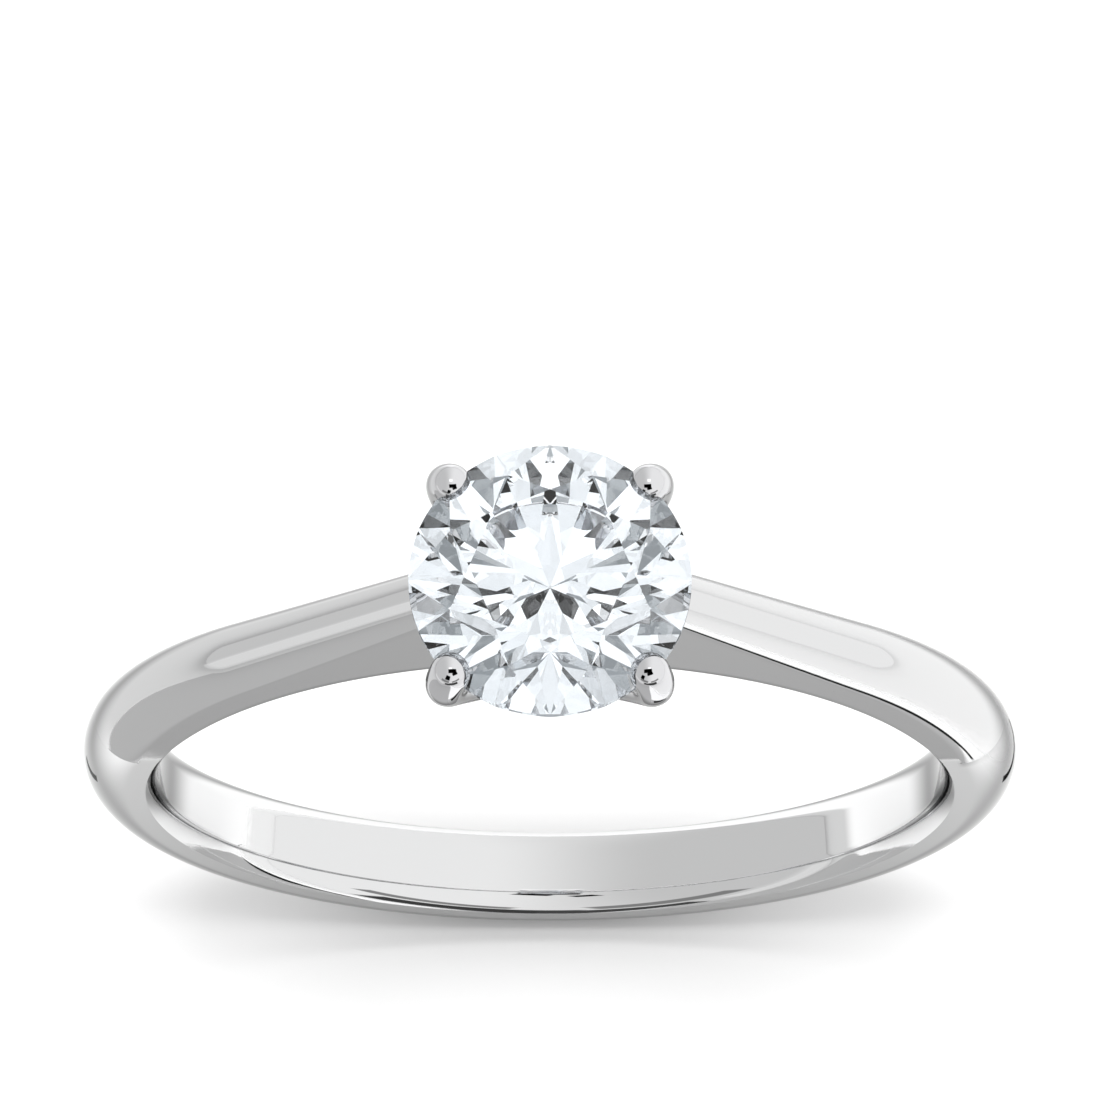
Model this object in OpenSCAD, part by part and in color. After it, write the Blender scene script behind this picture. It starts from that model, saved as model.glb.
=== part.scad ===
// Engagement ring: a half-round band with raised, tapering shoulders and a four-prong head that
// holds a round brilliant stone. Millimetres and degrees.
// The origin is the centre of the finger bore. +Z points to the stone, Y runs along the finger and
// X runs from shoulder to shoulder. Angles on the band are counted from the top (+Z).

/* [Band] */
// diameter of the bore that the finger goes through
finger_d = 16.5; // [14:0.1:22]
// wall of the band from the bore to the top of its rounded crown
band_t = 1.57; // [1.3:0.01:2.4]
// width of the band along the finger
band_w = 1.84; // [1.5:0.01:2.5]
// width of the straight middle strip of the bore, between its rounded edges
bore_flat = 0.86; // [0.5:0.01:1.2]
// radius of the bore's rounded edges
comfort_r = 0.6; // [0.55:0.01:0.9]

/* [Shoulders] */
// angle from the top at which each shoulder leaves the band
shoulder_angle = 75; // [60:1:82]
// width of the shoulders at the head
shoulder_w = 1.14; // [0.95:0.01:1.6]
// depth of the shoulders' crown line below the girdle's middle plane, at the stone's edge
shoulder_drop = 0.76; // [0.53:0.01:0.98]
// step from the line where the band's flanks start to round down to the shoulders' seat
seat_step = 0.06; // [0.03:0.01:0.12]

/* [Stone] */
// diameter of the stone at its girdle
stone_d = 5.72; // [4.9:0.01:6.8]
// height of the stone's lowest point, the culet, above the bore
culet_lift = 0.78; // [0.63:0.01:1.83]
// width of the table facet, as a share of the diameter
table_share = 0.57; // [0.53:0.01:0.62]
// thickness of the girdle where the main facets meet it, as a share of the diameter
girdle_share = 0.03; // [0.026:0.001:0.045]
// angle of the crown's main facets
crown_angle = 34.5; // [32:0.1:36]
// angle of the pavilion's main facets
pavilion_angle = 40.8; // [40:0.1:41.8]
// length of the star facets, as a share of the way from the table's edge to the girdle
star_share = 0.5; // [0.4:0.01:0.6]
// length of the lower girdle facets, as a share of the way from the girdle to the culet
lower_share = 0.77; // [0.7:0.01:0.85]

/* [Head] */
// diameter of the round wire of the prongs
prong_d = 0.84; // [0.7:0.01:0.95]
// lean of the prong tips in over the stone
tip_lean = 35; // [28:1:40]
// radius of the bend between leg and tip, on the wire's middle line
prong_bend_r = 0.75; // [0.6:0.01:0.9]
// distance from the stone's edge out to the middle line of the prong at its widest
prong_out = 0.11; // [0.05:0.01:0.2]
// depth of the bend's centre below the girdle's middle plane
bend_drop = 0.27; // [0.2:0.01:0.35]
// height of the prongs' feet above the bore
foot_lift = 0.7; // [0.6:0.01:0.9]
// distance from the base ring's outside out to the middle line of a prong's foot
foot_out = 0.12; // [-0.02:0.01:0.25]
// outer diameter of the base ring that fills the gap at the top of the band
base_d = 3.1; // [2.9:0.01:3.4]
// diameter of the open middle of the base ring
base_bore_d = 1.7; // [1.4:0.01:1.9]
// height of the base ring's top above the bore
base_h = 1.25; // [1:0.01:1.35]
// diameter of the gallery rail's wire
rail_wire_d = 0.44; // [0.36:0.01:0.5]
// distance from the pavilion to the gallery rail's wire, straight across the gap
rail_gap = 0.16; // [0.13:0.01:0.25]
// place of the gallery rail below the girdle, as a share of the way down to the culet
rail_share = 0.58; // [0.52:0.01:0.63]

/* [Clearances] */
// gap left for solder wherever two metal pieces meet
solder_gap = 0.01; // [0.005:0.005:0.03]
// gap between the stone and the seats cut for it in the prongs
seat_gap = 0.01; // [0.005:0.005:0.03]
// gap between the stone and the inner ends of the shoulders
stone_clearance = 0.12; // [0.08:0.01:0.2]

/* [Hidden] */
$fn = 96;

metal = [0.86, 0.87, 0.88];
metal_head = [0.8, 0.81, 0.83];
gem = [0.8, 0.92, 1.0, 0.6];

// band
bore_r = finger_d / 2;
crown_r = bore_r + band_t;
half_w = band_w / 2;
seat_r = crown_r - half_w - seat_step;
past = 1; // how far a cutting shape runs past what it cuts

// stone, in heights from the girdle's middle plane
stone_r = stone_d / 2;
girdle_half = stone_d * girdle_share / 2;
table_r = stone_r * table_share;
fold = 8; // main facets round the stone
step = 360 / fold;
half_step = step / 2;
star_r = table_r * cos(half_step) * (1 - star_share) + stone_r * star_share;
lower_r = stone_r * (1 - lower_share);
rim_r = stone_r * 1.006; // where the main facets' lower tips would be, just outside the girdle
blank_r = rim_r / cos(half_step / 2); // corners of the uncut blank, outside the girdle
culet_z = -girdle_half - rim_r * tan(pavilion_angle);
girdle_z = bore_r + culet_lift - culet_z;
table_z = girdle_half + (rim_r - table_r) * tan(crown_angle);

// shoulders: the crown line is a straight tangent to the band's crown circle
line_x = stone_r;
line_z = girdle_z - shoulder_drop;
line_angle = atan2(line_x, line_z);
tangent_angle = line_angle + acos(crown_r / norm([line_x, line_z]));
taper_low_z = crown_r * cos(shoulder_angle);
taper_rate = (half_w - shoulder_w / 2) / (line_z - taper_low_z);
solder_angle = solder_gap / crown_r * 180 / PI;
inner_angle = 8; // the sweep starts inside the head and is cut back to it
sweep_steps = 24;
arc_steps = 16;

// head
prong_r = prong_d / 2;
ball_r = prong_r + 0.004; // balls stand a hair proud of the wire, so that they meet it cleanly
base_r = base_d / 2;
base_z = bore_r + base_h;
foot_z = bore_r + foot_lift;
rail_drop = -culet_z * rail_share;
rail_z = girdle_z - rail_drop;
rail_wire_r = rail_wire_d / 2;
pavilion_at_rail = stone_r - (rail_drop - girdle_half) / tan(pavilion_angle);
rail_r = pavilion_at_rail + (rail_gap + rail_wire_r) / sin(pavilion_angle);
head_r = max(rail_r + rail_wire_r, base_r) + solder_gap;
bend_x = stone_r + prong_out - prong_bend_r;
bend_z = girdle_z - bend_drop;
foot = [base_r + foot_out - bend_x, foot_z - bend_z]; // from the bend's centre
prong_lean = -acos(prong_bend_r / norm(foot)) - atan2(foot[1], foot[0]); // leg out from the vertical
leg_top = [bend_x + prong_bend_r * cos(prong_lean), bend_z - prong_bend_r * sin(prong_lean)];
leg_len = (leg_top[1] - foot_z) / cos(prong_lean);
tip = [bend_x + prong_bend_r * cos(tip_lean), bend_z + prong_bend_r * sin(tip_lean)];

// ---- shapes that more than one piece uses ----

// half the width that the tapered flanks leave at a height
function flank(z) = half_w - taper_rate * max(z - taper_low_z, 0);

// a point at an angle round Z
function polar(r, a, z) = [r * cos(a), r * sin(a), z];

// height at radius blank_r and angle a of the plane through three points
function plane_z(p, q, s, a) =
    let (n = cross(q - p, s - p), e = polar(blank_r, a, 0) - p)
    p[2] - (n[0] * e[0] + n[1] * e[1]) / n[2];

// one side of the stone, as rings of points: inner corners, girdle corners, blank corners
function side_ring(join_r, join_z, rim_z, i) =
    let (
        a = i * step,
        join = polar(join_r, a + half_step, join_z),
        main = polar(rim_r, a, rim_z),
        half = polar(rim_r, a + half_step, rim_z)
    )
    [
        join,
        main,
        polar(blank_r, a, plane_z(join, main, half, a)),
        polar(blank_r, a + half_step, plane_z(join, main, half, a + half_step))
    ];

// round brilliant about its girdle's middle plane: flat facets, girdle turned to a true cylinder
module brilliant() {
    join_top = girdle_half + (rim_r - star_r * cos(half_step)) * tan(crown_angle);
    join_low = -girdle_half - (rim_r - lower_r * cos(half_step)) * tan(pavilion_angle);
    last = fold - 1;
    top = [for (i = [0:last]) each side_ring(star_r, join_top, girdle_half, i)];
    low = [for (i = [0:last]) each side_ring(lower_r, join_low, -girdle_half, i)];
    table = [for (i = [0:last]) polar(table_r, i * step, table_z)];
    points = concat(top, low, table, [[0, 0, culet_z]]);
    b = 4 * fold; // first point of the lower side
    t = 8 * fold; // first point of the table
    c = 9 * fold; // the culet
    table_face = [[for (i = [last:-1:0]) t + i]];
    facets = [
        for (i = [0:last])
            let (j = (i + 1) % fold, h = (i + last) % fold, p = 4 * i, q = 4 * j, o = 4 * h)
            each [
                [t + i, t + j, p],
                [t + i, p, p + 1, o],
                [p, p + 3, p + 2, p + 1],
                [o, p + 1, p + 2, o + 3],
                [p + 2, p + 3, b + p + 3, b + p + 2],
                [o + 3, p + 2, b + p + 2, b + o + 3],
                [b + p, b + p + 1, b + p + 2, b + p + 3],
                [b + o, b + o + 3, b + p + 2, b + p + 1],
                [c, b + o, b + p + 1, b + p]
            ]
    ];
    intersection() {
        polyhedron(points = points, faces = concat(table_face, facets), convexity = 2);
        rotate([0, 0, half_step / 2])
            cylinder(r = stone_r, h = stone_d, center = true);
    }
}

// the stone grown by a gap, to cut seats with
module stone_seat() {
    translate([0, 0, girdle_z])
        scale(1 + seat_gap / stone_r)
            brilliant();
}

// section of the band: radius along X, width along Y
module band_section() {
    difference() {
        union() {
            translate([crown_r - half_w, 0])
                circle(r = half_w);
            translate([bore_r, -half_w])
                square([crown_r - half_w - bore_r, band_w]);
        }
        translate([bore_r - band_w, -half_w])
            square(band_w);
        for (side = [-1, 1])
            translate([bore_r, side * bore_flat / 2])
                difference() {
                    translate([-past, -comfort_r * (1 - side) / 2])
                        square([past + comfort_r, comfort_r]);
                    translate([comfort_r, 0])
                        circle(r = comfort_r);
                }
    }
}

// room above the band for both shoulders
module shoulder_room() {
    reach = 2 * crown_r;
    x = reach * sin(shoulder_angle);
    z = reach * cos(shoulder_angle);
    difference() {
        rotate([90, 0, 0])
            linear_extrude(height = band_w + past, center = true)
                polygon([[0, 0], [x, z], [x, reach], [-x, reach], [-x, z]]);
        rotate([90, 0, 0])
            cylinder(r = seat_r, h = band_w + 2 * past, center = true);
    }
}

// the metal filed off both flanks so that the band narrows to the head
module taper_cuts() {
    top = crown_r + past;
    for (side = [-1, 1])
        rotate([90, 0, 90])
            linear_extrude(height = 2 * (crown_r + past), center = true)
                polygon([
                    [side * half_w, taper_low_z],
                    [side * (half_w + past), taper_low_z],
                    [side * (half_w + past), top],
                    [side * flank(top), top]
                ]);
}

// section of a shoulder at an angle: flanks and a half-round crown
function shoulder_section(a) =
    let (
        crown = crown_r / cos(max(tangent_angle - a, 0)),
        full = half_w + taper_rate * taper_low_z,
        spring = (crown - full) / (1 - taper_rate * cos(a)),
        r = crown - spring,
        low = seat_r + solder_gap,
        low_w = flank(low * cos(a))
    )
    concat(
        [[low * sin(a), -low_w, low * cos(a)]],
        [
            for (k = [0:arc_steps])
                let (u = -90 + 180 * k / arc_steps, rho = spring + r * cos(u))
                [rho * sin(a), r * sin(u), rho * cos(a)]
        ],
        [[low * sin(a), low_w, low * cos(a)]]
    );

// shoulder on the +X side
module shoulder() {
    count = arc_steps + 3;
    last_angle = shoulder_angle - solder_angle;
    span = last_angle - inner_angle;
    points = [
        for (i = [0:sweep_steps])
            each shoulder_section(inner_angle + span * i / sweep_steps)
    ];
    skin = [
        for (i = [0:sweep_steps - 1], k = [0:count - 1])
            let (n = (k + 1) % count)
            [i * count + k, i * count + n, (i + 1) * count + n, (i + 1) * count + k]
    ];
    inner_cap = [[for (k = [count - 1:-1:0]) k]];
    outer_cap = [[for (k = [0:count - 1]) sweep_steps * count + k]];
    cone_low = rail_z;
    cone_r = pavilion_at_rail + stone_clearance / sin(pavilion_angle);
    top = 2 * crown_r; // above the sweep's inner end
    cone_h = top - cone_low;
    difference() {
        polyhedron(points = points, faces = concat(inner_cap, outer_cap, skin), convexity = 4);
        cylinder(r = head_r, h = top);
        translate([0, 0, cone_low])
            cylinder(r1 = cone_r, r2 = cone_r + cone_h / tan(pavilion_angle), h = cone_h);
    }
}

// one prong leg in the XZ plane, with any growth of its radius and length
module prong_leg(grow = 0) {
    translate([leg_top[0], 0, leg_top[1]])
        rotate([0, 180 + prong_lean, 0])
            cylinder(r = prong_r + grow, h = leg_len + grow);
}

// uncut prong wire in the XZ plane: leg, bend and round tip, with a ball in the leg's top joint
module prong_wire() {
    prong_leg();
    translate([bend_x, 0, bend_z])
        rotate([90, 0, 0])
            rotate([0, 0, -prong_lean])
                rotate_extrude(angle = prong_lean + tip_lean)
                    translate([prong_bend_r, 0])
                        circle(r = prong_r);
    translate([tip[0], 0, tip[1]])
        rotate([0, -tip_lean, 0])
            sphere(r = ball_r);
    translate([leg_top[0], 0, leg_top[1]])
        sphere(r = ball_r);
}

// prong at an angle round the head, with the stone's seat cut in it
module prong(a) {
    color(metal_head)
        difference() {
            rotate([0, 0, a])
                prong_wire();
            stone_seat();
        }
}

// the four prong legs, grown by the solder gap, to notch the base ring and the rail
module prong_notches() {
    for (a = [45:90:315])
        rotate([0, 0, a])
            prong_leg(solder_gap);
}

// ---- the pieces ----

module shank() {
    color(metal)
        difference() {
            rotate([90, 0, 0])
                rotate_extrude()
                    band_section();
            shoulder_room();
            taper_cuts();
            cylinder(r = base_r + solder_gap, h = crown_r + past);
        }
}

module shoulder_right() {
    color(metal)
        shoulder();
}

module shoulder_left() {
    color(metal)
        mirror([1, 0, 0])
            shoulder();
}

// short tube whose foot follows the finger bore, open under the stone
module head_base() {
    color(metal_head)
        difference() {
            cylinder(r = base_r, h = base_z);
            cylinder(d = base_bore_d, h = base_z + past);
            rotate([90, 0, 0])
                cylinder(r = bore_r, h = base_d + 2 * past, center = true);
            prong_notches();
        }
}

// ring of round wire that ties the prongs together below the stone
module gallery_rail() {
    color(metal_head)
        difference() {
            translate([0, 0, rail_z])
                rotate_extrude()
                    translate([rail_r, 0])
                        circle(r = rail_wire_r);
            prong_notches();
        }
}

module prong_back_right() {
    prong(45);
}

module prong_back_left() {
    prong(135);
}

module prong_front_left() {
    prong(225);
}

module prong_front_right() {
    prong(315);
}

module diamond() {
    color(gem)
        translate([0, 0, girdle_z])
            brilliant();
}

shank();
shoulder_left();
shoulder_right();
head_base();
gallery_rail();
prong_front_left();
prong_front_right();
prong_back_left();
prong_back_right();
diamond();
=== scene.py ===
"""Engagement ring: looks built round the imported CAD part. Metres, in the part's own frame."""

import math

import bmesh
import bpy
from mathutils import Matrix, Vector


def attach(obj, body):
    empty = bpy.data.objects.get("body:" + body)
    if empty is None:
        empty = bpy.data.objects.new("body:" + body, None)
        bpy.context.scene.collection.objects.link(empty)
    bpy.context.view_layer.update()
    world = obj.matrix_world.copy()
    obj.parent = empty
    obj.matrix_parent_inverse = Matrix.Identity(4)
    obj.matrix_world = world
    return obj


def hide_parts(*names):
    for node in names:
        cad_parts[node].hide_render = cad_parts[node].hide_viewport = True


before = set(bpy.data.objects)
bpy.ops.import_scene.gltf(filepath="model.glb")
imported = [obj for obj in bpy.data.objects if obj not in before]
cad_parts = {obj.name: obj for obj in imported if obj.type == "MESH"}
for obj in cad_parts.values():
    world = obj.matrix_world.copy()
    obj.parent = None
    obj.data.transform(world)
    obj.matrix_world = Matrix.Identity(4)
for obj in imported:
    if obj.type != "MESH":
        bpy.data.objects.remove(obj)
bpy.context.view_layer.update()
scene = bpy.context.scene
MM = 0.001

# ---- sizes, the same as the CAD part's (mm) ----
FINGER_R = 8.25
BAND_T = 1.57
HALF_W = 0.92
BORE_FLAT = 0.86
COMFORT_R = 0.60
SHOULDER_ANGLE = math.radians(75)
SHOULDER_HALF_W = 0.57
SHOULDER_DROP = 0.76
SEAT_STEP = 0.06
STONE_R = 2.86
CULET_LIFT = 0.78
TABLE_SHARE = 0.57
GIRDLE_SHARE = 0.03
CROWN_ANGLE = math.radians(34.5)
PAVILION_ANGLE = math.radians(40.8)
STAR_SHARE = 0.5
LOWER_SHARE = 0.77
PRONG_R = 0.42
TIP_LEAN = math.radians(35)
BEND_R = 0.75
PRONG_OUT = 0.11
BEND_DROP = 0.27
FOOT_LIFT = 0.7
FOOT_OUT = 0.12
BASE_R = 1.55
BASE_BORE_R = 0.85
BASE_H = 1.25
RAIL_WIRE_R = 0.22
RAIL_GAP = 0.16
RAIL_SHARE = 0.58
STONE_CLEARANCE = 0.12

CROWN_R = FINGER_R + BAND_T
SEAT_R = CROWN_R - HALF_W - SEAT_STEP
GIRDLE_HALF = STONE_R * GIRDLE_SHARE
RIM_R = STONE_R * 1.006      # where the main facets' tips would be, just outside the girdle
CULET_DEPTH = GIRDLE_HALF + RIM_R * math.tan(PAVILION_ANGLE)
GIRDLE_Z = FINGER_R + CULET_LIFT + CULET_DEPTH
RAIL_DROP = CULET_DEPTH * RAIL_SHARE
LINE_X = STONE_R
LINE_Z = GIRDLE_Z - SHOULDER_DROP
TANGENT = math.atan2(LINE_X, LINE_Z) + math.acos(CROWN_R / math.hypot(LINE_X, LINE_Z))
TAPER_LOW_Z = CROWN_R * math.cos(SHOULDER_ANGLE)
TAPER_RATE = (HALF_W - SHOULDER_HALF_W) / (LINE_Z - TAPER_LOW_Z)
PAVILION_AT_RAIL = STONE_R - (RAIL_DROP - GIRDLE_HALF) / math.tan(PAVILION_ANGLE)
RAIL_Z = GIRDLE_Z - RAIL_DROP
RAIL_R = PAVILION_AT_RAIL + (RAIL_GAP + RAIL_WIRE_R) / math.sin(PAVILION_ANGLE)
HEAD_R = RAIL_R + RAIL_WIRE_R
BEND_X = STONE_R + PRONG_OUT - BEND_R
BEND_Z = GIRDLE_Z - BEND_DROP
FOOT_X = BASE_R + FOOT_OUT - BEND_X
FOOT_Z = FINGER_R + FOOT_LIFT - BEND_Z
PRONG_LEAN = -math.acos(BEND_R / math.hypot(FOOT_X, FOOT_Z)) - math.atan2(FOOT_Z, FOOT_X)


def flank(z):
    """Half the band's width at a height."""
    return HALF_W - TAPER_RATE * max(z - TAPER_LOW_Z, 0)


def crown(a):
    """Radius of the crown line at an angle from the top."""
    return CROWN_R / math.cos(max(TANGENT - a, 0))


def spring(a):
    """Radius at which the flanks start to round over."""
    if crown(a) * math.cos(a) < TAPER_LOW_Z:
        return crown(a) - HALF_W
    full = HALF_W + TAPER_RATE * TAPER_LOW_Z
    return (crown(a) - full) / (1 - TAPER_RATE * math.cos(a))


def comfort(y):
    """Radius of the bore at a distance from the middle of the band."""
    over = max(abs(y) - BORE_FLAT / 2, 0)
    return FINGER_R + COMFORT_R - math.sqrt(COMFORT_R ** 2 - over ** 2)


# ---- mesh helpers ----

WELD = 1e-8             # points closer than this are one, m
BAND_CREASE = 30        # edges sharper than this stay crisp, degrees
HEAD_CREASE = 35


def link_object(name, data):
    """A new object in the scene."""
    ob = bpy.data.objects.new(name, data)
    scene.collection.objects.link(ob)
    return ob


def make(name, verts, faces, smooth_angle):
    """A mesh object from points in mm and faces; repeated corners of a face are dropped."""
    me = bpy.data.meshes.new(name)
    bm = bmesh.new()
    vs = [bm.verts.new(Vector(v) * MM) for v in verts]
    for f in faces:
        ids = []
        for i in f:
            if i not in ids:
                ids.append(i)
        if len(ids) > 2:
            bm.faces.new([vs[i] for i in ids])
    bmesh.ops.remove_doubles(bm, verts=bm.verts, dist=WELD)
    bmesh.ops.dissolve_degenerate(bm, edges=bm.edges, dist=WELD)
    bmesh.ops.recalc_face_normals(bm, faces=bm.faces)
    bm.to_mesh(me)
    bm.free()
    ob = link_object(name, me)
    shade(ob, smooth_angle)
    return ob


def shade(ob, smooth_angle):
    """Flat faces, or smooth ones with crisp edges above an angle in degrees."""
    if smooth_angle is None:
        ob.data.shade_flat()
    else:
        ob.data.shade_smooth()
        ob.data.set_sharp_from_angle(angle=math.radians(smooth_angle))


def apply_modifiers(ob):
    """Turn what the modifiers make into the object's own mesh."""
    dg = bpy.context.evaluated_depsgraph_get()
    me = bpy.data.meshes.new_from_object(ob.evaluated_get(dg))
    ob.modifiers.clear()
    old = ob.data
    ob.data = me
    bpy.data.meshes.remove(old)


def cut(ob, tool):
    """Take one object's shape away from another."""
    mod = ob.modifiers.new("cut", "BOOLEAN")
    mod.operation = "DIFFERENCE"
    mod.solver = "EXACT"
    mod.object = tool
    apply_modifiers(ob)


# ---- band and shoulders ----
BORE_PTS = 14           # steps round each rounded edge of the bore
FLANK_PTS = 6           # steps up a flank
DOME_PTS = 48           # steps round half the crown
LINER_PTS = 6           # steps across half a shoulder's foot
LINER_STEPS = 61        # steps along the band under a shoulder
LOWER_STEPS = 210       # steps along the rest of the band
SHOULDER_STEPS = 82     # steps along a shoulder
BLEND_STEPS = 6         # steps from a shoulder's cut end to its first plain section
LINER_START = math.radians(14)
END_SECTION = math.radians(12)
SHOULDER_START = math.radians(20)
END_SEARCH = (math.radians(6), math.radians(30))
END_HALVINGS = 40


def band_half(a, full):
    """Half a band section (y >= 0) from the middle of the bore to the middle of the top."""
    low_w = flank(comfort(HALF_W) * math.cos(a))
    flat = BORE_FLAT / 2
    turned_by = math.asin((low_w - flat) / COMFORT_R)
    pts = [(FINGER_R, 0)]
    for i in range(BORE_PTS + 1):
        y = flat + COMFORT_R * math.sin(turned_by * i / BORE_PTS)
        pts.append((comfort(y), y))
    edge = comfort(low_w)
    seat_w = flank(SEAT_R * math.cos(a))
    for i in range(1, FLANK_PTS + 1):
        rho = edge + (SEAT_R - edge) * i / FLANK_PTS
        pts.append((rho, flank(rho * math.cos(a))))
    pts += dome_half(a) if full else [
        (SEAT_R, seat_w * (1 - i / (DOME_PTS + 1))) for i in range(1, DOME_PTS + 2)]
    return pts


def dome_half(a):
    """Half the rounded crown, from the flank up to the middle of the top."""
    sp = spring(a)
    r = crown(a) - sp
    return [(sp + r * math.cos(u), r * math.sin(u))
            for u in (math.pi / 2 * (1 - i / DOME_PTS) for i in range(DOME_PTS + 1))]


def ring_of(half):
    """Whole closed section from its half, symmetric in y."""
    return half + [(r, -y) for r, y in reversed(half[1:-1])]


def place(section, a):
    """Stand a section at its angle on the band."""
    return [(rho * math.sin(a), y, rho * math.cos(a)) for rho, y in section]


def head_angle(rho, y, radius):
    """Angle at which a line of the section meets the head's upright cylinder."""
    return math.asin(math.sqrt(max(radius ** 2 - y ** 2, 0)) / rho)


def symmetric_caps(n):
    """Strips that close a section laid out by ring_of."""
    return [(k, k + 1, (n - k - 1) % n, (n - k) % n) for k in range(n // 2)]


def build(name, rings):
    """A closed skin through rings of equal point counts."""
    n = len(rings[0])
    verts = [p for r in rings for p in r]
    faces = []
    for i in range(len(rings) - 1):
        for k in range(n):
            q = (k + 1) % n
            faces.append((i * n + k, i * n + q, (i + 1) * n + q, (i + 1) * n + k))
    for base in (0, (len(rings) - 1) * n):
        faces += [tuple(base + i for i in s) for s in symmetric_caps(n)]
    return make(name, verts, faces, BAND_CREASE)


def spread(lo, hi, count):
    """Evenly spaced values, with both ends."""
    return [lo + (hi - lo) * i / count for i in range(count + 1)]


def shank_rings():
    """The band from one side of the head round to the other."""
    liner = spread(LINER_START, SHOULDER_ANGLE, LINER_STEPS)
    lower = spread(SHOULDER_ANGLE, 2 * math.pi - SHOULDER_ANGLE, LOWER_STEPS)

    def end(sign):
        sec = ring_of(band_half(END_SECTION, False))
        return [(sign * rho * math.sin(head_angle(rho, y, BASE_R)), y,
                 rho * math.cos(head_angle(rho, y, BASE_R))) for rho, y in sec]

    def at(a, full):
        return place(ring_of(band_half(min(a, 2 * math.pi - a), full)), a)

    rings = [end(1)]
    rings += [at(a, False) for a in liner]
    rings += [at(a, True) for a in lower]
    rings += [at(2 * math.pi - a, False) for a in reversed(liner)]
    rings += [end(-1)]
    return rings


def shoulder_section(a):
    """Closed section of a shoulder, from its seat on the band to its crown."""
    w = flank(SEAT_R * math.cos(a))
    sp = spring(a)
    pts = [(SEAT_R, w * i / LINER_PTS) for i in range(LINER_PTS + 1)]
    for i in range(1, FLANK_PTS + 1):
        rho = SEAT_R + (sp - SEAT_R) * i / (FLANK_PTS + 1)
        pts.append((rho, flank(rho * math.cos(a))))
    return ring_of(pts + dome_half(a))


def head_limit(x, y, z):
    """How far a point is outside the room kept for the head and the stone."""
    r = math.hypot(x, y)
    cone = PAVILION_AT_RAIL + STONE_CLEARANCE / math.sin(PAVILION_ANGLE)
    cone += max(z - RAIL_Z, 0) / math.tan(PAVILION_ANGLE)
    return r - (max(HEAD_R, cone) if z > RAIL_Z else HEAD_R)


def shoulder_end():
    """The inner end: each line of the section is followed up to the room kept for the head."""
    out = []
    for k in range(len(shoulder_section(SHOULDER_ANGLE))):
        lo, hi = END_SEARCH
        for _ in range(END_HALVINGS):
            mid = (lo + hi) / 2
            rho, y = shoulder_section(mid)[k]
            if head_limit(rho * math.sin(mid), y, rho * math.cos(mid)) < 0:
                lo = mid
            else:
                hi = mid
        rho, y = shoulder_section(hi)[k]
        out.append((hi, rho, y))
    return out


def shoulder(name, sign):
    """A shoulder on the right (sign 1) or the left (sign -1)."""
    ends = shoulder_end()
    rings = [[(sign * rho * math.sin(a), y, rho * math.cos(a)) for a, rho, y in ends]]
    for s in range(1, BLEND_STEPS):
        ring = []
        for k, (a0, _, _) in enumerate(ends):
            a = a0 + (SHOULDER_START - a0) * s / BLEND_STEPS
            rho, y = shoulder_section(a)[k]
            ring.append((sign * rho * math.sin(a), y, rho * math.cos(a)))
        rings.append(ring)
    for a in spread(SHOULDER_START, SHOULDER_ANGLE, SHOULDER_STEPS):
        rings.append([(sign * x, y, z) for x, y, z in place(shoulder_section(a), a)])
    return build(name, rings)


# ---- head ----

TUBE_SEGMENTS = 96
TUBE_ROWS = 6
TUBE_BEVEL = 0.06       # mm
RAIL_SEGMENTS = 128
RAIL_SIDES = 32
PRONG_SIDES = 40
LEG_STEPS = 12
BEND_STEPS = 24
TIP_STEPS = 12


def turned(name, columns, smooth_angle):
    """A skin round Z through closed columns of points, one column for each step of the turn."""
    n = len(columns[0])
    count = len(columns)
    verts = [p for column in columns for p in column]
    faces = []
    for i in range(count):
        j = (i + 1) % count
        for k in range(n):
            q = (k + 1) % n
            faces.append((i * n + k, j * n + k, j * n + q, i * n + q))
    return make(name, verts, faces, smooth_angle)


def head_base():
    """Short tube whose foot follows the finger bore."""
    top = FINGER_R + BASE_H
    columns = []
    for i in range(TUBE_SEGMENTS):
        a = 2 * math.pi * i / TUBE_SEGMENTS
        profile = []
        for r in (BASE_BORE_R, BASE_R):
            foot = math.sqrt(FINGER_R ** 2 - (r * math.cos(a)) ** 2)
            inner = r == BASE_BORE_R
            wall = [(r, z) for z in spread(foot, top - TUBE_BEVEL, TUBE_ROWS)]
            wall.append((r + TUBE_BEVEL if inner else r - TUBE_BEVEL, top))
            profile += reversed(wall) if inner else wall
        columns.append([(q * math.cos(a), q * math.sin(a), z) for q, z in profile])
    return turned("base_tube", columns, BAND_CREASE)


def rail():
    """Ring of round wire below the stone."""
    turns = [2 * math.pi * k / RAIL_SIDES for k in range(RAIL_SIDES)]
    wire = [(RAIL_R + RAIL_WIRE_R * math.cos(u), RAIL_Z + RAIL_WIRE_R * math.sin(u))
            for u in turns]
    columns = []
    for i in range(RAIL_SEGMENTS):
        a = 2 * math.pi * i / RAIL_SEGMENTS
        columns.append([(r * math.cos(a), r * math.sin(a), z) for r, z in wire])
    return turned("rail_ring", columns, HEAD_CREASE)


def prong_path():
    """Points (radius, height) and directions along the prong's middle line, foot to tip."""
    top = (BEND_X + BEND_R * math.cos(PRONG_LEAN), BEND_Z - BEND_R * math.sin(PRONG_LEAN))
    length = (top[1] - FINGER_R - FOOT_LIFT) / math.cos(PRONG_LEAN)
    d = (math.sin(PRONG_LEAN), math.cos(PRONG_LEAN))
    pts = []
    for i in range(LEG_STEPS):
        s = length * (1 - i / LEG_STEPS)
        pts.append(((top[0] - d[0] * s, top[1] - d[1] * s), PRONG_LEAN))
    for i in range(BEND_STEPS + 1):
        u = -PRONG_LEAN + (PRONG_LEAN + TIP_LEAN) * i / BEND_STEPS
        pts.append(((BEND_X + BEND_R * math.cos(u), BEND_Z + BEND_R * math.sin(u)), -u))
    return pts


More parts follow.
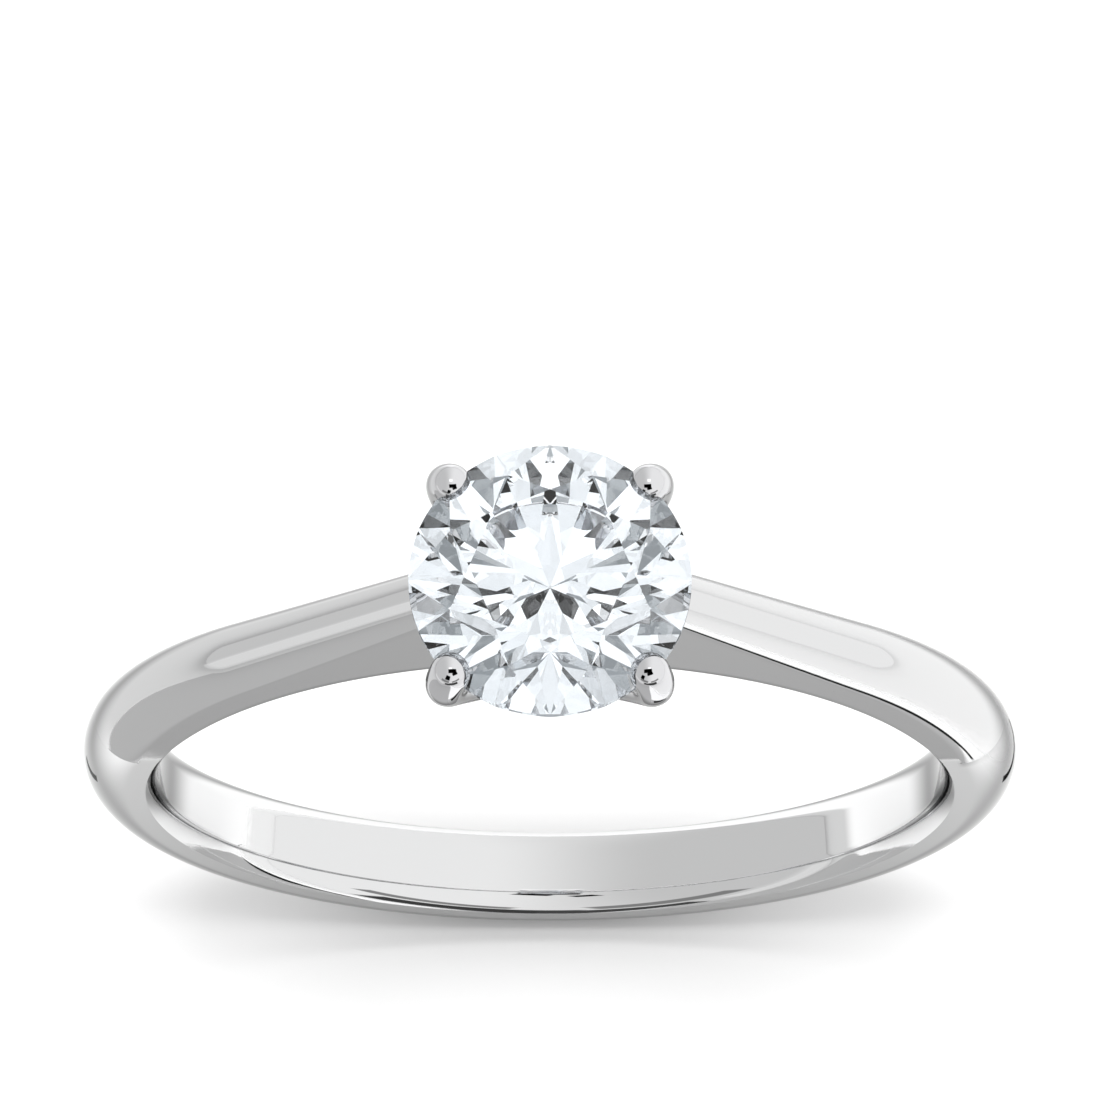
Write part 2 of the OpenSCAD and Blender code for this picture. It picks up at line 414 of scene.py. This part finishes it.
def prong_mesh(name, grow=0.0):
    """Bent round wire with a rounded tip, in the XZ plane."""
    path = prong_path()
    radius = PRONG_R + grow
    rings = [(x, z, lean, radius) for (x, z), lean in path]
    (x, z), lean = path[-1]
    for i in range(1, TIP_STEPS):
        u = math.pi / 2 * i / TIP_STEPS
        rings.append((x + radius * math.sin(u) * math.sin(lean),
                      z + radius * math.sin(u) * math.cos(lean), lean, radius * math.cos(u)))
    n = PRONG_SIDES
    verts, faces = [], []
    for rx, rz, way, r in rings:
        for k in range(n):
            a = 2 * math.pi * k / n
            across = r * math.cos(a)
            verts.append((rx + across * math.cos(way), r * math.sin(a),
                          rz - across * math.sin(way)))
    last_ring = (len(rings) - 1) * n
    for base in range(0, last_ring, n):
        for k in range(n):
            q = (k + 1) % n
            faces.append((base + k, base + q, base + n + q, base + n + k))
    faces.append(tuple(range(n)))
    apex = len(verts)
    verts.append((x + radius * math.sin(lean), 0, z + radius * math.cos(lean)))
    faces += [(last_ring + k, last_ring + (k + 1) % n, apex) for k in range(n)]
    return make(name, verts, faces, HEAD_CREASE)


def turn(ob, degrees):
    """Turn an object's points round Z."""
    a = math.radians(degrees)
    for v in ob.data.vertices:
        x, y = v.co.x, v.co.y
        v.co.x = x * math.cos(a) - y * math.sin(a)
        v.co.y = x * math.sin(a) + y * math.cos(a)
    ob.data.update()


# ---- stone ----

FACETS = 8              # main facets round the stone
BLANK_SEGMENTS = 256
ON_PLANE = 1e-5         # points closer than this to a facet plane lie on it, mm
FACET_WELD = 2e-5       # mm
SLIVER = 1e-6           # mm


def facet_planes():
    """(point, outward normal) of every facet plane, about the girdle's middle plane."""
    def polar(r, a, z):
        return Vector((r * math.cos(a), r * math.sin(a), z))

    def plane(p, q, s):
        nrm = (q - p).cross(s - p).normalized()
        return p, nrm if nrm.z * p.z > 0 else -nrm

    step = 2 * math.pi / FACETS
    table_r = STONE_R * TABLE_SHARE
    star_r = table_r * math.cos(step / 2) * (1 - STAR_SHARE) + STONE_R * STAR_SHARE
    lower_r = STONE_R * (1 - LOWER_SHARE)
    table_z = GIRDLE_HALF + (RIM_R - table_r) * math.tan(CROWN_ANGLE)
    culet = Vector((0, 0, -GIRDLE_HALF - RIM_R * math.tan(PAVILION_ANGLE)))
    top_join = GIRDLE_HALF + (RIM_R - star_r * math.cos(step / 2)) * math.tan(CROWN_ANGLE)
    low_join = -GIRDLE_HALF - (RIM_R - lower_r * math.cos(step / 2)) * math.tan(PAVILION_ANGLE)
    planes = [(Vector((0, 0, table_z)), Vector((0, 0, 1)))]
    for i in range(FACETS):
        a = i * step
        b = a + step / 2
        star = polar(star_r, b, top_join)
        low = polar(lower_r, b, low_join)
        planes.append(plane(polar(table_r, a, table_z), polar(table_r, a + step, table_z), star))
        planes.append(plane(polar(table_r, a, table_z), star, polar(RIM_R, a, GIRDLE_HALF)))
        planes.append(plane(culet, low, polar(RIM_R, a, -GIRDLE_HALF)))
        for c in (a, a + step):
            planes.append(plane(star, polar(RIM_R, c, GIRDLE_HALF), polar(RIM_R, b, GIRDLE_HALF)))
            planes.append(plane(low, polar(RIM_R, c, -GIRDLE_HALF), polar(RIM_R, b, -GIRDLE_HALF)))
    return planes


def stone_mesh(name, grow=0.0):
    """A turned blank cut by every facet plane."""
    scale = 1 + grow / STONE_R
    me = bpy.data.meshes.new(name)
    bm = bmesh.new()
    blank_r = STONE_R * scale
    bmesh.ops.create_cone(bm, cap_ends=True, segments=BLANK_SEGMENTS, radius1=blank_r,
                          radius2=blank_r, depth=2 * blank_r)
    for p, nrm in facet_planes():
        geom = bm.verts[:] + bm.edges[:] + bm.faces[:]
        bmesh.ops.bisect_plane(bm, geom=geom, dist=ON_PLANE, plane_co=p * scale, plane_no=nrm,
                               clear_outer=True)
        rim = [e for e in bm.edges if e.is_boundary]
        if rim:
            bmesh.ops.holes_fill(bm, edges=rim, sides=0)
    bmesh.ops.remove_doubles(bm, verts=bm.verts, dist=FACET_WELD)
    bmesh.ops.dissolve_degenerate(bm, edges=bm.edges, dist=SLIVER)
    assert all(e.is_manifold for e in bm.edges), name
    bmesh.ops.recalc_face_normals(bm, faces=bm.faces)
    for v in bm.verts:
        v.co = (v.co + Vector((0, 0, GIRDLE_Z))) * MM
    bm.to_mesh(me)
    bm.free()
    ob = link_object(name, me)
    shade(ob, None)
    return ob


# ---- materials ----

DIAMOND_IOR = 2.417
GRAIN_SCALE = 900.0     # fine noise that makes the polish uneven
WAVE_SCALE = 160.0      # broad noise of hand polishing
WAVE_HEIGHT = 2.0e-5    # m
PAINTED_RIM_START = 0.60        # facing value at which painted shade begins to darken the metal at its outline
# where the painted outline shade is full, and the share of the colour it leaves
PAINTED_RIM_END = 0.77
PAINTED_RIM_SHADE = 0.14
CLOUD_SCALE = 700.0     # fine noise in the stone's tint
OUTER_SHEEN = 0.3       # share of the mirror kept on the stone's outside
NOISE_SPAN = (0.35, 0.65)


def nodes_of(mat):
    """Empty node tree of a material, with its two makers."""
    mat.use_nodes = True
    nt = mat.node_tree
    nt.nodes.clear()
    return nt, nt.nodes.new, nt.links.new


def map_range(nt, span, onto, smooth=False):
    """A node that carries one span of values onto another."""
    node = nt.nodes.new("ShaderNodeMapRange")
    if smooth:
        node.interpolation_type = "SMOOTHSTEP"
    names = ("From Min", "From Max", "To Min", "To Max")
    for name, value in zip(names, (*span, *onto)):
        node.inputs[name].default_value = value
    return node


def metal(name, tint, rough_lo, rough_hi):
    """Polished metal with a fine uneven polish, slightly wavy, with painted shade that darkens it at
    its outline.
    """
    mat = bpy.data.materials.new(name)
    nt, new, link = nodes_of(mat)
    out = new("ShaderNodeOutputMaterial")
    bsdf = new("ShaderNodeBsdfPrincipled")
    link(bsdf.outputs["BSDF"], out.inputs["Surface"])
    bsdf.inputs["Metallic"].default_value = 1.0
    coord = new("ShaderNodeTexCoord")
    fine = new("ShaderNodeTexNoise")
    fine.inputs["Scale"].default_value = GRAIN_SCALE
    fine.inputs["Detail"].default_value = 4.0
    link(coord.outputs["Object"], fine.inputs["Vector"])
    ramp = map_range(nt, NOISE_SPAN, (rough_lo, rough_hi))
    link(fine.outputs["Fac"], ramp.inputs["Value"])
    link(ramp.outputs["Result"], bsdf.inputs["Roughness"])
    broad = new("ShaderNodeTexNoise")
    broad.inputs["Scale"].default_value = WAVE_SCALE
    broad.inputs["Detail"].default_value = 2.0
    link(coord.outputs["Object"], broad.inputs["Vector"])
    wave = new("ShaderNodeBump")          # hand polishing leaves the faces very slightly wavy
    wave.inputs["Strength"].default_value = 1.0
    wave.inputs["Distance"].default_value = WAVE_HEIGHT
    link(broad.outputs["Fac"], wave.inputs["Height"])
    link(wave.outputs["Normal"], bsdf.inputs["Normal"])
    mix = new("ShaderNodeMix")
    mix.data_type = "RGBA"
    mix.inputs[6].default_value = (tint[0], tint[1], tint[2], 1)
    mix.inputs[7].default_value = (tint[0] * 0.97, tint[1] * 0.975, tint[2] * 0.98, 1)
    link(broad.outputs["Fac"], mix.inputs[0])
    # painted shade: the base colour darkens towards the outline, standing in for dark surroundings
    # mirrored at grazing angles
    facing = new("ShaderNodeLayerWeight")
    facing.inputs["Blend"].default_value = 0.5
    rim = map_range(nt, (PAINTED_RIM_START, PAINTED_RIM_END), (1.0, PAINTED_RIM_SHADE), smooth=True)
    link(facing.outputs["Facing"], rim.inputs["Value"])
    painted_outline_dim = new("ShaderNodeVectorMath")
    painted_outline_dim.operation = "SCALE"
    link(mix.outputs[2], painted_outline_dim.inputs[0])
    link(rim.outputs["Result"], painted_outline_dim.inputs["Scale"])
    link(painted_outline_dim.outputs["Vector"], bsdf.inputs["Base Color"])
    return mat


def diamond_material():
    """Clear stone that refracts and mirrors, with a mirror inside stronger than outside."""
    mat = bpy.data.materials.new("diamond")
    nt, new, link = nodes_of(mat)
    out = new("ShaderNodeOutputMaterial")
    coord = new("ShaderNodeTexCoord")
    noise = new("ShaderNodeTexNoise")
    noise.inputs["Scale"].default_value = CLOUD_SCALE
    link(coord.outputs["Object"], noise.inputs["Vector"])
    tint = new("ShaderNodeMix")
    tint.data_type = "RGBA"
    tint.inputs[6].default_value = (0.975, 0.988, 1.0, 1)
    tint.inputs[7].default_value = (0.950, 0.972, 0.995, 1)
    link(noise.outputs["Fac"], tint.inputs[0])
    through = new("ShaderNodeBsdfRefraction")
    through.inputs["Roughness"].default_value = 0.0
    through.inputs["IOR"].default_value = DIAMOND_IOR
    link(tint.outputs[2], through.inputs["Color"])
    side = new("ShaderNodeNewGeometry")
    sheen = map_range(nt, (0.0, 1.0), (OUTER_SHEEN, 1.0))
    link(side.outputs["Backfacing"], sheen.inputs["Value"])
    mirror = new("ShaderNodeBsdfGlossy")
    mirror.inputs["Roughness"].default_value = 0.0
    link(sheen.outputs["Result"], mirror.inputs["Color"])
    fresnel = new("ShaderNodeFresnel")
    fresnel.inputs["IOR"].default_value = DIAMOND_IOR
    mix = new("ShaderNodeMixShader")
    link(fresnel.outputs["Fac"], mix.inputs["Fac"])
    link(through.outputs["BSDF"], mix.inputs[1])
    link(mirror.outputs["BSDF"], mix.inputs[2])
    link(mix.outputs["Shader"], out.inputs["Surface"])
    return mat


band_metal = metal("polished_metal", (0.72, 0.72, 0.72), 0.02, 0.05)
head_metal = metal("head_metal", (0.69, 0.69, 0.70), 0.03, 0.06)
stone_mat = diamond_material()


def piece(ob, mat, slot, *nodes):
    """Finish a piece: its material, its body and the CAD nodes it replaces; its slot is not used."""
    ob.data.materials.clear()
    ob.data.materials.append(mat)
    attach(ob, "root")
    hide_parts(*nodes)
    return ob


piece(build("ring_shank", shank_rings()), band_metal, "polished_metal", "shank")
piece(shoulder("ring_shoulder_right", 1), band_metal, "polished_metal", "shoulder_right")
piece(shoulder("ring_shoulder_left", -1), band_metal, "polished_metal", "shoulder_left")

SEAT_GAP = 0.01         # room between the stone and the claws' seats, mm
NOTCH_GAP = 0.005       # room round the prongs in the base tube and the rail, mm

base = head_base()
ring = rail()
seat = stone_mesh("seat_cutter", SEAT_GAP)
corners = {"back_right": 45, "back_left": 135, "front_left": 225, "front_right": 315}
for where, angle in corners.items():
    notch = prong_mesh("notch", NOTCH_GAP)
    turn(notch, angle)
    cut(base, notch)
    cut(ring, notch)
    bpy.data.objects.remove(notch)
    claw = prong_mesh("claw_" + where)
    turn(claw, angle)
    cut(claw, seat)
    shade(claw, HEAD_CREASE)
    piece(claw, head_metal, "head_metal", "prong_" + where)
bpy.data.objects.remove(seat)
shade(base, HEAD_CREASE)
shade(ring, HEAD_CREASE)
piece(base, head_metal, "head_metal", "head_base")
piece(ring, head_metal, "head_metal", "gallery_rail")
piece(stone_mesh("brilliant"), stone_mat, "stone", "diamond")

# ---- stage ----
HEAD_Z = GIRDLE_Z + 0.6     # height of the prong tips, mm
FLAG_DISTANCE = 0.010       # m
CARD_DISTANCE = 0.4         # cards stand further off than the camera, m
TENT_DISTANCE = CARD_DISTANCE * 1.1
DRIFT_SCALE = 7.0           # noise that makes the tent's light uneven
CURVE_STEPS = 12            # steps along each curved stretch of a floor card's outline
FLOOR_REACH = 1000          # half the floor's side, mm
PAPER_REACH = 990           # how far the widest papers on it reach, mm
LOW_LIFT = 0.02             # heights of the papers over the floor, mm
MID_LIFT = 0.05
HIGH_LIFT = 0.10


def look(ob, target):
    """Turn an object's -Z to a point."""
    d = Vector(target) - ob.location
    ob.rotation_euler = d.to_track_quat("-Z", "Y").to_euler()


def toward(azimuth, elevation):
    """Unit vector: azimuth from the back (+Y) round to the right (+X), elevation up."""
    a, e = math.radians(azimuth), math.radians(elevation)
    return Vector((math.sin(a) * math.cos(e), math.cos(a) * math.cos(e), math.sin(e)))


def glow(name, level, tint=(1, 1, 1), uneven=0.0):
    """Even light, or light that drifts by a share of its brightness from place to place."""
    mat = bpy.data.materials.new(name)
    nt, new, link = nodes_of(mat)
    out = new("ShaderNodeOutputMaterial")
    e = new("ShaderNodeEmission")
    e.inputs["Color"].default_value = (tint[0], tint[1], tint[2], 1)
    e.inputs["Strength"].default_value = level
    link(e.outputs["Emission"], out.inputs["Surface"])
    if uneven:
        place = new("ShaderNodeTexCoord")
        clouds = new("ShaderNodeTexNoise")
        clouds.inputs["Scale"].default_value = DRIFT_SCALE
        drift = map_range(nt, NOISE_SPAN, (level * (1 - uneven), level * (1 + uneven)))
        link(place.outputs["Object"], clouds.inputs["Vector"])
        link(clouds.outputs["Fac"], drift.inputs["Value"])
        link(drift.outputs["Result"], e.inputs["Strength"])
    return mat


def matte(name, shade_level):
    """Plain paper of one grey."""
    mat = bpy.data.materials.new(name)
    _, new, link = nodes_of(mat)
    out = new("ShaderNodeOutputMaterial")
    d = new("ShaderNodeBsdfDiffuse")
    d.inputs["Color"].default_value = (shade_level, shade_level, shade_level, 1)
    link(d.outputs["BSDF"], out.inputs["Surface"])
    return mat


def inset(outline, by):
    """The outline moved inwards, corner by corner."""
    count = len(outline)
    area = sum(outline[k - 1][0] * outline[k][1] - outline[k][0] * outline[k - 1][1]
               for k in range(count))
    turn = 1 if area > 0 else -1
    moved = []
    for k in range(count):
        before, here, after = (Vector(outline[n % count]) for n in (k - 1, k, k + 1))
        sides = ((here - before).normalized(), (after - here).normalized())
        inward = sum((Vector((-e.y, e.x)) for e in sides), Vector((0, 0))) * turn
        moved.append(here + inward.normalized() * by)
    return moved


def soften(mat):
    """Let the paper fade out to clear where its cover is nought."""
    nt = mat.node_tree
    cover = nt.nodes.new("ShaderNodeAttribute")
    cover.attribute_name = "cover"
    clear = nt.nodes.new("ShaderNodeBsdfTransparent")
    fade = nt.nodes.new("ShaderNodeMixShader")
    surface = nt.nodes["Material Output"].inputs["Surface"]
    paper = surface.links[0].from_socket
    nt.links.new(cover.outputs["Fac"], fade.inputs["Fac"])
    nt.links.new(clear.outputs["BSDF"], fade.inputs[1])
    nt.links.new(paper, fade.inputs[2])
    nt.links.new(fade.outputs["Shader"], surface)


def sheet(name, outline, z, mat, feather=0.0):
    """Flat paper from its outline in mm, with a soft border if it has a feather."""
    me = bpy.data.meshes.new(name)
    count = len(outline)
    verts = [Vector((x, y, z)) * MM for x, y in outline]
    faces = [tuple(range(count))]
    if feather:
        verts += [Vector((q[0], q[1], z)) * MM for q in inset(outline, feather)]
        faces = [tuple(range(count, 2 * count))]
        faces += [(k, (k + 1) % count, count + (k + 1) % count, count + k) for k in range(count)]
    me.from_pydata(verts, [], faces)
    ob = link_object(name, me)
    ob.data.materials.append(mat)
    if feather:
        cover = me.attributes.new("cover", "FLOAT", "POINT")
        for k in range(count):
            cover.data[count + k].value = 1.0
        soften(mat)
    ob.visible_camera = False      # only mirrored, so the floor stays plain from every side
    ob.visible_shadow = False
    return ob


def rectangle(x0, x1, y0, y1):
    """Corners of an upright rectangle."""
    return [(x0, y0), (x1, y0), (x1, y1), (x0, y1)]


def arc(centre, half_x, half_y, start, end):
    """Points round an ellipse, between two angles in degrees."""
    turns = [math.radians(start + (end - start) * k / CURVE_STEPS) for k in range(CURVE_STEPS + 1)]
    return [(centre[0] + half_x * math.cos(a), centre[1] + half_y * math.sin(a)) for a in turns]


def eased(start, end):
    """Points on an S-curve that is level at both ends."""
    points = []
    for k in range(CURVE_STEPS + 1):
        t = k / CURVE_STEPS
        points.append((start[0] + (end[0] - start[0]) * t,
                       start[1] + (end[1] - start[1]) * t * t * (3 - 2 * t)))
    return points


def falling(start, reach, slope, bend):
    """Points that leave a place level, to the left, and fall away to a steady slope."""
    points = []
    for k in range(CURVE_STEPS + 1):
        out = reach * (k / CURVE_STEPS) ** 2
        points.append((start[0] - out, start[1] - slope * (math.hypot(bend, out) - bend)))
    return points


def card(name, azimuth, elevation, wide, high, level, tint=(1, 1, 1), feather=0.0,
         centre=(0, 0, 0), distance=CARD_DISTANCE):
    """A card round a point: where it stands, its size in degrees, its brightness and the
    share of its half height that fades out."""
    half_wide = distance / MM * math.tan(math.radians(wide / 2))
    half_high = distance / MM * math.tan(math.radians(high / 2))
    ob = sheet(name, rectangle(-half_wide, half_wide, -half_high, half_high), 0,
               glow(name + "_paper", level, tint), feather * half_high)
    ob.location = Vector(centre) + toward(azimuth, elevation) * distance
    look(ob, centre)
    return ob


def floor_card(name, outline, level, lift, feather=0.0):
    """Paper lying on the floor, from its outline in mm."""
    ob = sheet(name, outline, lift - CROWN_R, matte(name + "_paper", level), feather)
    ob.visible_diffuse = False     # the floor under it stays as bright as the rest
    return ob


def shade_off(ob, x0, x1, shade0, shade1):
    """Let the paper go gently from one grey to another between two places on X, in mm."""
    mat = ob.data.materials[0]
    nt = mat.node_tree
    place = nt.nodes.new("ShaderNodeTexCoord")
    part = nt.nodes.new("ShaderNodeSeparateXYZ")
    ramp = map_range(nt, (x1 * MM, x0 * MM), (shade1, shade0), smooth=True)
    nt.links.new(place.outputs["Object"], part.inputs["Vector"])
    nt.links.new(part.outputs["X"], ramp.inputs["Value"])
    nt.links.new(ramp.outputs["Result"], nt.nodes["Diffuse BSDF"].inputs["Color"])


floor = sheet("floor", rectangle(-FLOOR_REACH, FLOOR_REACH, -FLOOR_REACH, FLOOR_REACH), -CROWN_R,
              matte("floor_paper", 0.92))
floor.visible_camera = True
floor.visible_shadow = True

GREY_DIP = (-11.5, -6)      # where the left paper's near edge is furthest from the ring, mm
GREY_CREST = (-22, -3)      # and where it is nearest again
floor_card("front_grey_left", [(0, -5)] + eased((-6, -5), GREY_DIP) + eased(GREY_DIP, GREY_CREST)[1:]
           + falling(GREY_CREST, 128, 0.72, 36)[1:] + [(-60, -150), (0, -150)],
           0.40, MID_LIFT, 0.7)
floor_card("front_grey_right", arc((-1, -9.2), 12.7, 7.3, -90, 0)
           + arc((7, -9.2), 4.7, 4.2, 0, 90)[1:] + [(-1, -5)], 0.42, MID_LIFT, 0.5)
floor_card("front_black_right", arc((2, -6.8), 9.6, 3.8, -90, 0)
           + arc((2, -6.8), 10.4, 8.0, 0, -90), 0.01, HIGH_LIFT, 0.25)
left_grey = floor_card("left_grey", rectangle(-PAPER_REACH, -12.8, -PAPER_REACH, PAPER_REACH),
                       0.5, LOW_LIFT)
shade_off(left_grey, -12.8, -24, 0.92, 0.58)
right_white = floor_card("right_white", rectangle(12.8, PAPER_REACH, -PAPER_REACH, PAPER_REACH),
                         0.5, LOW_LIFT, 12)
shade_off(right_white, 14, 300, 0.78, 1.0)
floor_card("side_black_right", rectangle(12.9, 13.5, -1, 4.6), 0.01, MID_LIFT, 0.1)
floor_card("side_dark_left", rectangle(-13.5, -12.9, -1, 2), 0.2, HIGH_LIFT, 0.1)

# small black flags held close over the head, which only its prong tips mirror at full size:
# azimuth, elevation, width and height in degrees
FLAGS = [(176, 70, 46, 24), (158, 52, 30, 16), (-154, 30, 20, 22)]
for number, (azimuth, elevation, wide, high) in enumerate(FLAGS):
    flag = card("head_flag_%d" % number, azimuth, elevation, wide, high, 0.0, feather=0.15,
                centre=(0, 0, HEAD_Z * MM), distance=FLAG_DISTANCE)
    flag.visible_transmission = False
    flag.visible_diffuse = False

card("front_black", 166, 6, 40, 16, 0.06, feather=0.4)
card("front_black_left", -170, 5, 30, 10, 0.08)
card("front_arc_right", 152, 20, 40, 10, 0.3, feather=0.5)
card("front_arc_left", -152, 20, 40, 14, 0.28, feather=0.5)
card("left_white", -122, 4, 60, 16, 0.95, feather=0.9)
card("top_white", 0, 87, 20, 18, 1.8, feather=0.5)


def stone_only(ob):
    """Only the light leaving the stone meets this, so the metal stays clean."""
    ob.visible_camera = False
    ob.visible_diffuse = False
    ob.visible_glossy = False
    ob.visible_shadow = False


def stone_tent(radius, level, uneven):
    """Half a white ball over the ring."""
    rows, columns = 12, 32
    verts = [(0, 0, radius)]
    for i in range(1, rows + 1):
        e = math.pi / 2 * (1 - i / rows)
        verts += [(radius * math.cos(e) * math.cos(2 * math.pi * k / columns),
                   radius * math.cos(e) * math.sin(2 * math.pi * k / columns),
                   radius * math.sin(e)) for k in range(columns)]
    faces = [(0, 1 + k, 1 + (k + 1) % columns) for k in range(columns)]
    for i in range(rows - 1):
        for k in range(columns):
            a, b = 1 + i * columns + k, 1 + i * columns + (k + 1) % columns
            faces.append((a, a + columns, b + columns, b))
    me = bpy.data.meshes.new("stone_tent")
    me.from_pydata(verts, [], faces)
    ob = link_object("stone_tent", me)
    ob.data.materials.append(glow("stone_tent_paper", level, STONE_TINT, uneven))
    stone_only(ob)


STONE_TINT = (0.965, 0.985, 1.0)
CARD_TINT = (0.90, 0.96, 1.0)
# rings of evenly spaced cards mirrored inside the stone: elevation, first azimuth, how many,
# width (degrees) and brightness
STONE_RINGS = [(20, 22.5, 8, 16, 0.02), (45, 0, 8, 20, 0.42), (66, 30, 6, 9, 0.03)]
# a pair of black cards nearer the ring, either side of the back, for the deepest accents
PAIR_AZIMUTH = 22.5
PAIR_ELEVATION = 58
PAIR_WIDTH = 13
PAIR_DISTANCE = CARD_DISTANCE * 0.9

stone_tent(TENT_DISTANCE, 1.30, 0.22)
for ring_number, (elevation, first, count, wide, level) in enumerate(STONE_RINGS):
    for number in range(count):
        stone_only(card("stone_card_%d_%d" % (ring_number, number), first + 360 / count * number,
                        elevation, wide, wide, level, CARD_TINT))
for side in (-1, 1):
    stone_only(card("stone_pair_%d" % side, side * PAIR_AZIMUTH, PAIR_ELEVATION, PAIR_WIDTH,
                    PAIR_WIDTH, 0.0, CARD_TINT, distance=PAIR_DISTANCE))

world = bpy.data.worlds.new("studio")
scene.world = world
world.use_nodes = True
wn = world.node_tree
background = wn.nodes["Background"]
background.inputs["Color"].default_value = (1, 1, 1, 1)
coord = wn.nodes.new("ShaderNodeTexCoord")
split = wn.nodes.new("ShaderNodeSeparateXYZ")
across = map_range(wn, (-0.55, 0.35), (0.75, 1.14), smooth=True)   # darker on the left
wn.links.new(coord.outputs["Generated"], split.inputs["Vector"])
wn.links.new(split.outputs["X"], across.inputs["Value"])
wn.links.new(across.outputs["Result"], background.inputs["Strength"])

key = bpy.data.lights.new("key", "AREA")
key.shape = "RECTANGLE"
key.size = 0.16
key.size_y = 0.09
key.energy = 0.47
key_ob = link_object("key", key)
key_ob.location = (0, 0.012, 0.26)
key_ob.visible_glossy = False
key_ob.visible_transmission = False
look(key_ob, (0, 0, 0))

# ---- camera ----
CAMERA_ELEVATION = math.radians(72.401)
CAMERA_DISTANCE = 266.838   # from the ring's centre, mm
LENS = 414.672              # mm
SENSOR = 36                 # mm
AIM_HEIGHT = 4.3061         # how far above the ring's centre the picture's middle lies, mm

cam_data = bpy.data.cameras.new("camera")
cam_data.sensor_width = SENSOR
cam_data.lens = LENS
cam_data.clip_start = 0.01
cam_data.clip_end = 10
cam = link_object("camera", cam_data)
up = Vector((0, math.sin(CAMERA_ELEVATION), math.cos(CAMERA_ELEVATION)))
away = Vector((0, -math.cos(CAMERA_ELEVATION), math.sin(CAMERA_ELEVATION)))
cam.location = away * CAMERA_DISTANCE * MM
look(cam, up * AIM_HEIGHT * MM)
scene.camera = cam

scene.view_settings.view_transform = "Standard"
scene.view_settings.look = "None"
scene.cycles.max_bounces = 32
scene.cycles.transmission_bounces = 32
scene.cycles.glossy_bounces = 12
scene.cycles.diffuse_bounces = 4
scene.cycles.caustics_reflective = False
scene.cycles.caustics_refractive = False
scene.cycles.use_denoising = True
